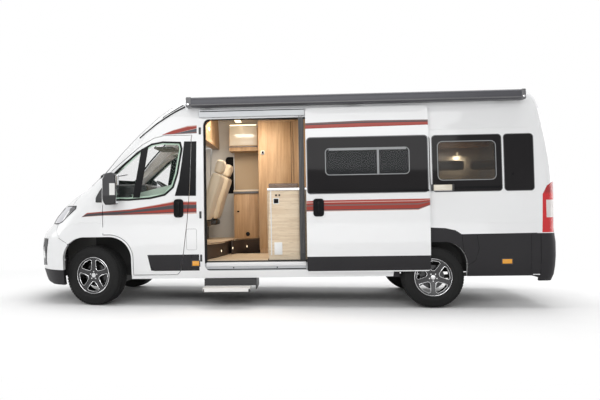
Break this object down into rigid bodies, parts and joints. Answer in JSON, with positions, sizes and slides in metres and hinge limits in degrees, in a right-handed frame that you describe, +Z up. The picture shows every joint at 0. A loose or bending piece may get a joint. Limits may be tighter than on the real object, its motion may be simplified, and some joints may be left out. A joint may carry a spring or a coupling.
{
  "type": "camper van",
  "caption": "High-roof camper van on a panel-van body with a sliding door, twin rear doors, slide-out step, roll-out awning, galley and rear bed.",
  "frame": {"origin": "on the ground, under the middle of the overall box", "axes": "+X towards the rear, along the body; -Y to the left side, with the sliding door of this van; +Z up"},
  "size_m": [6.3908, 2.508, 2.6709],
  "materials": {
    "body_white": "gloss white paint over steel panels",
    "awning_grey": "satin anthracite coated aluminium",
    "oak": "light oak foil on furniture board",
    "tinted_glass": "tinted safety glass",
    "dark_window": "near-black privacy window",
    "seat_cover": "cream leatherette, stitched",
    "dark_trim": "grained black plastic",
    "bare_aluminium": "anodised aluminium",
    "cast_metal": "raw cast metal",
    "underseal": "matt dark underseal",
    "chassis_black": "satin black chassis paint",
    "lamp_glass": "clear lamp cover over chrome bowls",
    "cushion_fabric": "beige woven upholstery",
    "floor_vinyl": "vinyl floor on ply",
    "wheel_alloy": "dark painted alloy with polished edges",
    "rooflight_plastic": "off-white acrylic",
    "lamp_red": "red and white tail lamp lens",
    "tyre_rubber": "matt black rubber",
    "cladding_black": "grained anthracite plastic"
  },
  "bodies": {
    "root": {"awning_box": "awning_grey", "bed_platform": "oak", "body_side_left": "body_white", "body_side_right": "body_white", "cab_seats": "seat_cover", "dashboard": "dark_trim", "door_tracks": "bare_aluminium", "engine_block": "cast_metal", "floor_pan": "underseal", "flyscreen_cassette": "bare_aluminium", "front_bumper": "body_white", "front_grille": "cladding_black", "side_cladding": "cladding_black", "front_subframe": "chassis_black", "habitation_windows": "dark_window", "headlamps": "lamp_glass", "kitchen_unit": "oak", "mattress": "cushion_fabric", "overhead_lockers": "oak", "raised_floor": "floor_vinyl", "rear_axle": "chassis_black", "rear_bumper": "cladding_black", "roof_panel": "body_white", "rooflights": "rooflight_plastic", "scuttle": "dark_trim", "seat_bases": "dark_trim", "sideboard": "oak", "sliding_door": "body_white", "sliding_door_window": "dark_window", "step_housing": "bare_aluminium", "tail_lamps": "lamp_red", "tanks_and_exhaust": "chassis_black", "wardrobe": "oak", "windscreen": "tinted_glass", "wings": "body_white"},
    "front_wheel_left": {"tyre_front_left": "tyre_rubber", "rim_front_left": "wheel_alloy"},
    "front_wheel_right": {"tyre_front_right": "tyre_rubber", "rim_front_right": "wheel_alloy"},
    "rear_wheel_left": {"tyre_rear_left": "tyre_rubber", "rim_rear_left": "wheel_alloy"},
    "rear_wheel_right": {"tyre_rear_right": "tyre_rubber", "rim_rear_right": "wheel_alloy"},
    "knuckle_left_body": {"knuckle_left": "cast_metal"},
    "knuckle_right_body": {"knuckle_right": "cast_metal"},
    "steering": {"steering_wheel": "dark_trim"},
    "cab_door_left_body": {"cab_door_left": "body_white", "cab_glass_left": "tinted_glass", "mirror_left": "dark_trim", "door_cladding_left": "cladding_black"},
    "cab_door_right_body": {"cab_door_right": "body_white", "cab_glass_right": "tinted_glass", "mirror_right": "dark_trim", "door_cladding_right": "cladding_black"},
    "rear_door_left_body": {"rear_door_left": "body_white", "rear_glass_left": "dark_window"},
    "rear_door_right_body": {"rear_door_right": "body_white", "rear_glass_right": "dark_window"},
    "bonnet_body": {"bonnet": "body_white"},
    "entrance_step": {"step_tread": "bare_aluminium"}
  },
  "joints": [
    {"name": "steer_left", "type": "hinge", "parent": "root", "child": "knuckle_left_body", "pos_m": [-2.2805, -0.88, 0.358], "axis": [0, 0, 1], "range_deg": [-22, 52]},
    {"name": "steer_right", "type": "hinge", "parent": "root", "child": "knuckle_right_body", "pos_m": [-2.2805, 0.88, 0.358], "axis": [0, 0, 1], "range_deg": [-22, 52]},
    {"name": "steering_turn", "type": "hinge", "parent": "root", "child": "steering", "pos_m": [-1.65806, 0.45, 1.43336], "axis": [0.5601, 0, 0.8285], "range_deg": [-310, 730]},
    {"name": "spin_front_left", "type": "hinge", "parent": "knuckle_left_body", "child": "front_wheel_left", "pos_m": [-2.28697, -0.90415, 0.358], "axis": [0.2588, 0.9659, 0], "continuous": true},
    {"name": "spin_front_right", "type": "hinge", "parent": "knuckle_right_body", "child": "front_wheel_right", "pos_m": [-2.27403, 0.90415, 0.358], "axis": [0.2588, 0.9659, 0], "continuous": true},
    {"name": "spin_rear_left", "type": "hinge", "parent": "root", "child": "rear_wheel_left", "pos_m": [1.7545, -0.895, 0.358], "axis": [0, 1, 0], "continuous": true},
    {"name": "spin_rear_right", "type": "hinge", "parent": "root", "child": "rear_wheel_right", "pos_m": [1.7545, 0.895, 0.358], "axis": [0, 1, 0], "continuous": true},
    {"name": "cab_door_left_swing", "type": "hinge", "parent": "root", "child": "cab_door_left_body", "pos_m": [-2.18418, -1.029, 1.00967], "axis": [0.0164, 0, -0.9999], "range_deg": [0, 70]},
    {"name": "cab_door_right_swing", "type": "hinge", "parent": "root", "child": "cab_door_right_body", "pos_m": [-2.18418, 1.029, 1.00967], "axis": [-0.0164, 0, 0.9999], "range_deg": [0, 70]},
    {"name": "rear_door_left_swing", "type": "hinge", "parent": "root", "child": "rear_door_left_body", "pos_m": [3.1619, -0.839, 1.59745], "axis": [0.0164, 0, -0.9999], "range_deg": [0, 180]},
    {"name": "rear_door_right_swing", "type": "hinge", "parent": "root", "child": "rear_door_right_body", "pos_m": [3.1619, 0.839, 1.59745], "axis": [-0.0164, 0, 0.9999], "range_deg": [0, 180]},
    {"name": "bonnet_lift", "type": "hinge", "parent": "root", "child": "bonnet_body", "pos_m": [-2.35837, 0, 1.44687], "axis": [0, 1, 0], "range_deg": [0, 60]},
    {"name": "step_slide", "type": "slide", "parent": "root", "child": "entrance_step", "axis": [0, 1, 0], "range_m": [0, 0.24]}
  ],
  "couplings": [
    {"joint": "steer_right", "follows": "steer_left", "ratio": 1},
    {"joint": "steering_turn", "follows": "steer_left", "ratio": 14}
  ]
}
